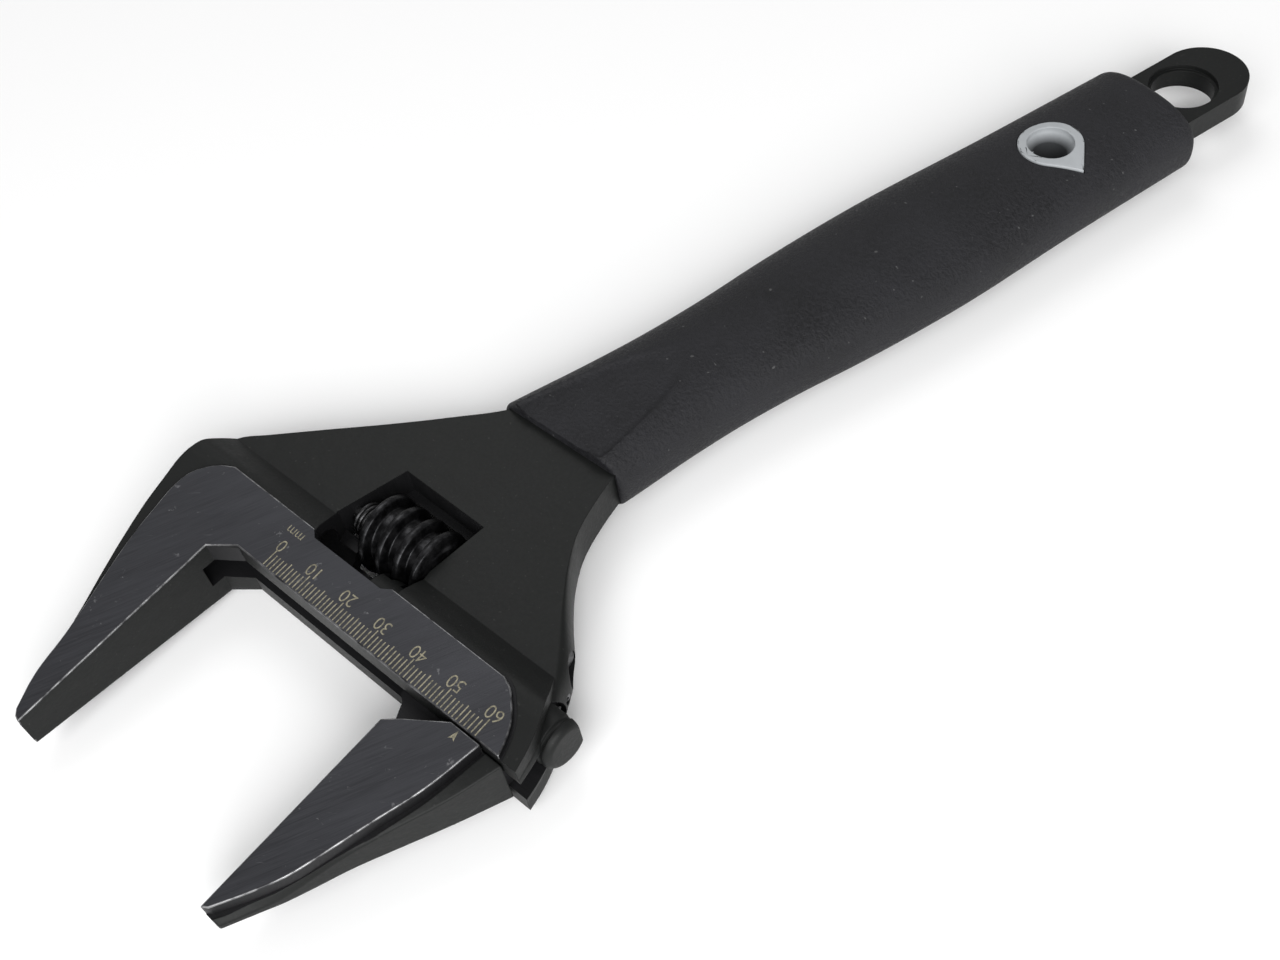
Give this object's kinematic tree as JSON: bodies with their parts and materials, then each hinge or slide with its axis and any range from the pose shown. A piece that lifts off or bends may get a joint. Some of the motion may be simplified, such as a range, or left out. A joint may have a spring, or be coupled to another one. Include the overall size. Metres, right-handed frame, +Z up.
{
  "type": "adjustable wrench",
  "caption": "Wide-opening adjustable wrench with slim jaws, engraved scale, thumb worm, rubber grip, tether eyelet and hanging eye.",
  "frame": {"origin": "centre of the fixed jaw's gripping face, on the wrench's middle plane", "axes": "+X from the fixed jaw towards the movable jaw, the way the jaw opens; +Y from the jaw tips towards the handle; +Z up out of the face with the scale"},
  "size_m": [0.1158, 0.2932, 0.0188],
  "materials": {
    "black_steel": "black oxide over forged steel, ground faces brushed",
    "hardened_steel": "blackened, satin",
    "spring_steel": "bare drawn wire",
    "black_rubber": "matte, fine grain",
    "grey_plastic": "satin moulded"
  },
  "bodies": {
    "frame": {"forged_body": "black_steel", "worm_axle_screw": "hardened_steel", "worm_spring": "spring_steel", "jaw_stop_pin": "hardened_steel", "grip_sleeve": "black_rubber", "tether_grommet": "grey_plastic"},
    "jaw": {"movable_jaw": "black_steel"},
    "worm": {"worm_screw": "hardened_steel"}
  },
  "joints": [
    {"name": "jaw_slide", "type": "slide", "parent": "frame", "child": "jaw", "axis": [1, 0, 0], "range_m": [-0.0568, 0.003]},
    {"name": "worm_spin", "type": "hinge", "parent": "frame", "child": "worm", "pos_m": [0.0287, 0.05, 0], "axis": [1, 0, 0], "range_deg": [-218, 4092]}
  ],
  "couplings": [
    {"joint": "worm_spin", "follows": "jaw_slide", "rad_per_m": -1256.6}
  ]
}
